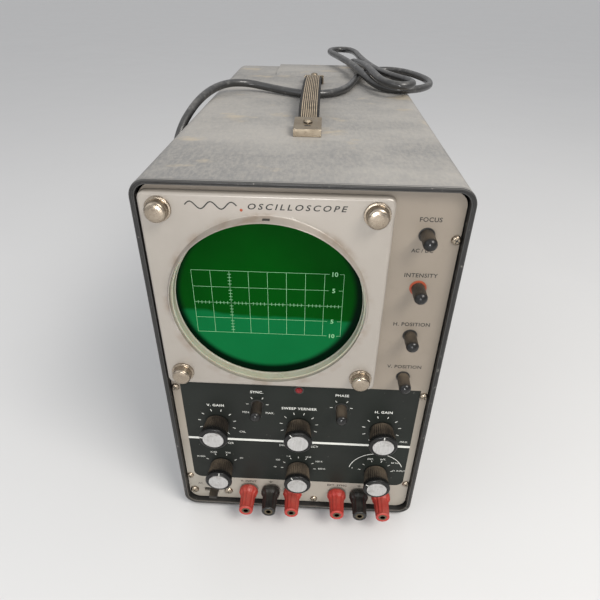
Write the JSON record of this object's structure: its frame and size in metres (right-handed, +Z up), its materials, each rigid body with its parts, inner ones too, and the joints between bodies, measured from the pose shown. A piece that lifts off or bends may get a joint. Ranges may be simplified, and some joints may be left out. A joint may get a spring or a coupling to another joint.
{
  "type": "oscilloscope",
  "caption": "Grey sheet-metal bench oscilloscope with a round green screen in a square bezel, fluted knobs, binding posts, a strap handle on top and a loose mains lead.",
  "frame": {"origin": "on the bench surface under the middle of the outline, without the mains lead", "axes": "+Y from the front panel to the rear, +X to the viewer's right, +Z up"},
  "size_m": [0.2863, 0.524, 0.3215],
  "materials": {
    "cabinet": "grained grey enamel, dusty on top",
    "panel": "satin warm taupe enamel with a charcoal control field",
    "bezel": "glossy edged silver beige moulding",
    "cream_plastic": "translucent cream",
    "green_filter": "deep green tinted sheet with an engraved graticule",
    "nickel": "dull nickel plate",
    "glass": "clear envelope",
    "steel": "plain zinc plated sheet",
    "iron": "varnished laminations",
    "black_plastic": "moulded phenolic, dusty in the flutes",
    "black_fibre": "matt phenolic",
    "aluminium": "spun, fine circular lines",
    "red_plastic": "moulded red",
    "jewel": "dark red faceted lens",
    "brass": "nickel plated brass",
    "strap": "ribbed moulded strap, dusty ribs",
    "rubber": "matt",
    "cord": "worn satin sheath"
  },
  "bodies": {
    "cabinet": {"cabinet_shell": "cabinet", "rear_cover": "cabinet", "front_panel": "panel", "bezel": "bezel", "light_ring": "cream_plastic", "graticule_filter": "green_filter", "bezel_nuts": "nickel", "crt_tube": "glass", "crt_shield": "steel", "crt_socket": "black_fibre", "chassis": "steel", "power_transformer": "iron", "transformer_bells": "black_fibre", "filter_capacitor": "aluminium", "tube_sockets": "black_fibre", "vacuum_tubes": "glass", "potentiometers": "steel", "rotary_switches": "black_fibre", "pilot_jewel": "jewel", "slide_switch_body": "steel", "post_studs": "brass", "handle_brackets": "nickel", "feet": "rubber", "pan_head_screws": "nickel", "strain_relief": "rubber", "power_cord": "cord", "plug_body": "rubber", "plug_blades": "brass"},
    "v_gain_control": {"v_gain_knob": "black_plastic", "v_gain_knob_disc": "aluminium", "v_gain_shaft": "brass"},
    "sweep_vernier_control": {"sweep_vernier_knob": "black_plastic", "sweep_vernier_knob_disc": "aluminium", "sweep_vernier_shaft": "brass"},
    "h_gain_control": {"h_gain_knob": "black_plastic", "h_gain_knob_disc": "aluminium", "h_gain_shaft": "brass"},
    "v_attenuator_control": {"v_attenuator_knob": "black_plastic", "v_attenuator_knob_disc": "aluminium", "v_attenuator_shaft": "brass"},
    "sweep_frequency_control": {"sweep_frequency_knob": "black_plastic", "sweep_frequency_knob_disc": "aluminium", "sweep_frequency_shaft": "brass"},
    "selector_control": {"selector_knob": "black_plastic", "selector_knob_disc": "aluminium", "selector_shaft": "brass"},
    "sync_control": {"sync_knob": "black_plastic"},
    "phase_control": {"phase_knob": "black_plastic"},
    "focus_control": {"focus_knob": "black_plastic"},
    "intensity_control": {"intensity_knob": "black_plastic"},
    "h_position_control": {"h_position_knob": "black_plastic"},
    "v_position_control": {"v_position_knob": "black_plastic"},
    "switch_slider": {"slide_switch_button": "black_plastic"},
    "v_input_cap": {"v_input_post_cap": "red_plastic"},
    "v_ground_cap": {"v_ground_post_cap": "black_plastic"},
    "h_input_cap": {"h_input_post_cap": "red_plastic"},
    "ext_sync_cap": {"ext_sync_post_cap": "red_plastic"},
    "sync_ground_cap": {"sync_ground_post_cap": "black_plastic"},
    "test_signal_cap": {"test_signal_post_cap": "red_plastic"},
    "handle": {"handle_strap": "strap"}
  },
  "joints": [
    {"name": "v_gain_turn", "type": "hinge", "parent": "cabinet", "child": "v_gain_control", "pos_m": [-0.0635, -0.201, 0.1043], "axis": [0, 1, 0], "range_deg": [-65, 225]},
    {"name": "sweep_vernier_turn", "type": "hinge", "parent": "cabinet", "child": "sweep_vernier_control", "pos_m": [0.0007, -0.201, 0.1043], "axis": [0, 1, 0], "range_deg": [-110, 180]},
    {"name": "h_gain_turn", "type": "hinge", "parent": "cabinet", "child": "h_gain_control", "pos_m": [0.0649, -0.201, 0.1043], "axis": [0, 1, 0], "range_deg": [-145, 145]},
    {"name": "v_attenuator_turn", "type": "hinge", "parent": "cabinet", "child": "v_attenuator_control", "pos_m": [-0.0635, -0.201, 0.0535], "axis": [0, 1, 0], "range_deg": [-67, 53]},
    {"name": "sweep_frequency_turn", "type": "hinge", "parent": "cabinet", "child": "sweep_frequency_control", "pos_m": [0.0007, -0.201, 0.0535], "axis": [0, 1, 0], "range_deg": [-62, 118]},
    {"name": "selector_turn", "type": "hinge", "parent": "cabinet", "child": "selector_control", "pos_m": [0.0649, -0.201, 0.0535], "axis": [0, 1, 0], "range_deg": [-30, 150]},
    {"name": "sync_turn", "type": "hinge", "parent": "cabinet", "child": "sync_control", "pos_m": [-0.03115, -0.2, 0.1263], "axis": [0, 1, 0], "range_deg": [-145, 145]},
    {"name": "phase_turn", "type": "hinge", "parent": "cabinet", "child": "phase_control", "pos_m": [0.03255, -0.2, 0.1263], "axis": [0, 1, 0], "range_deg": [-145, 145]},
    {"name": "focus_turn", "type": "hinge", "parent": "cabinet", "child": "focus_control", "pos_m": [0.0745, -0.2, 0.2718], "axis": [0, 1, 0], "range_deg": [-145, 145]},
    {"name": "intensity_turn", "type": "hinge", "parent": "cabinet", "child": "intensity_control", "pos_m": [0.0745, -0.2, 0.2351], "axis": [0, 1, 0], "range_deg": [-145, 145]},
    {"name": "h_position_turn", "type": "hinge", "parent": "cabinet", "child": "h_position_control", "pos_m": [0.0745, -0.2, 0.1974], "axis": [0, 1, 0], "range_deg": [-145, 145]},
    {"name": "v_position_turn", "type": "hinge", "parent": "cabinet", "child": "v_position_control", "pos_m": [0.0745, -0.2, 0.1604], "axis": [0, 1, 0], "range_deg": [-145, 145]},
    {"name": "line_switch_slide", "type": "slide", "parent": "cabinet", "child": "switch_slider", "axis": [1, 0, 0], "range_m": [-0.0048, 0]},
    {"name": "v_input_unscrew", "type": "hinge", "parent": "cabinet", "child": "v_input_cap", "pos_m": [-0.04195, -0.204, 0.0235], "axis": [0, -1, 0], "range_deg": [0, 720]},
    {"name": "v_ground_unscrew", "type": "hinge", "parent": "cabinet", "child": "v_ground_cap", "pos_m": [-0.0229, -0.204, 0.0235], "axis": [0, -1, 0], "range_deg": [0, 720]},
    {"name": "h_input_unscrew", "type": "hinge", "parent": "cabinet", "child": "h_input_cap", "pos_m": [-0.00385, -0.204, 0.0235], "axis": [0, -1, 0], "range_deg": [0, 720]},
    {"name": "ext_sync_unscrew", "type": "hinge", "parent": "cabinet", "child": "ext_sync_cap", "pos_m": [0.03425, -0.204, 0.0235], "axis": [0, -1, 0], "range_deg": [0, 720]},
    {"name": "sync_ground_unscrew", "type": "hinge", "parent": "cabinet", "child": "sync_ground_cap", "pos_m": [0.0533, -0.204, 0.0235], "axis": [0, -1, 0], "range_deg": [0, 720]},
    {"name": "test_signal_unscrew", "type": "hinge", "parent": "cabinet", "child": "test_signal_cap", "pos_m": [0.07235, -0.204, 0.0235], "axis": [0, -1, 0], "range_deg": [0, 720]},
    {"name": "handle_lift", "type": "slide", "parent": "cabinet", "child": "handle", "axis": [0, 0, 1], "range_m": [0, 0.002]}
  ]
}
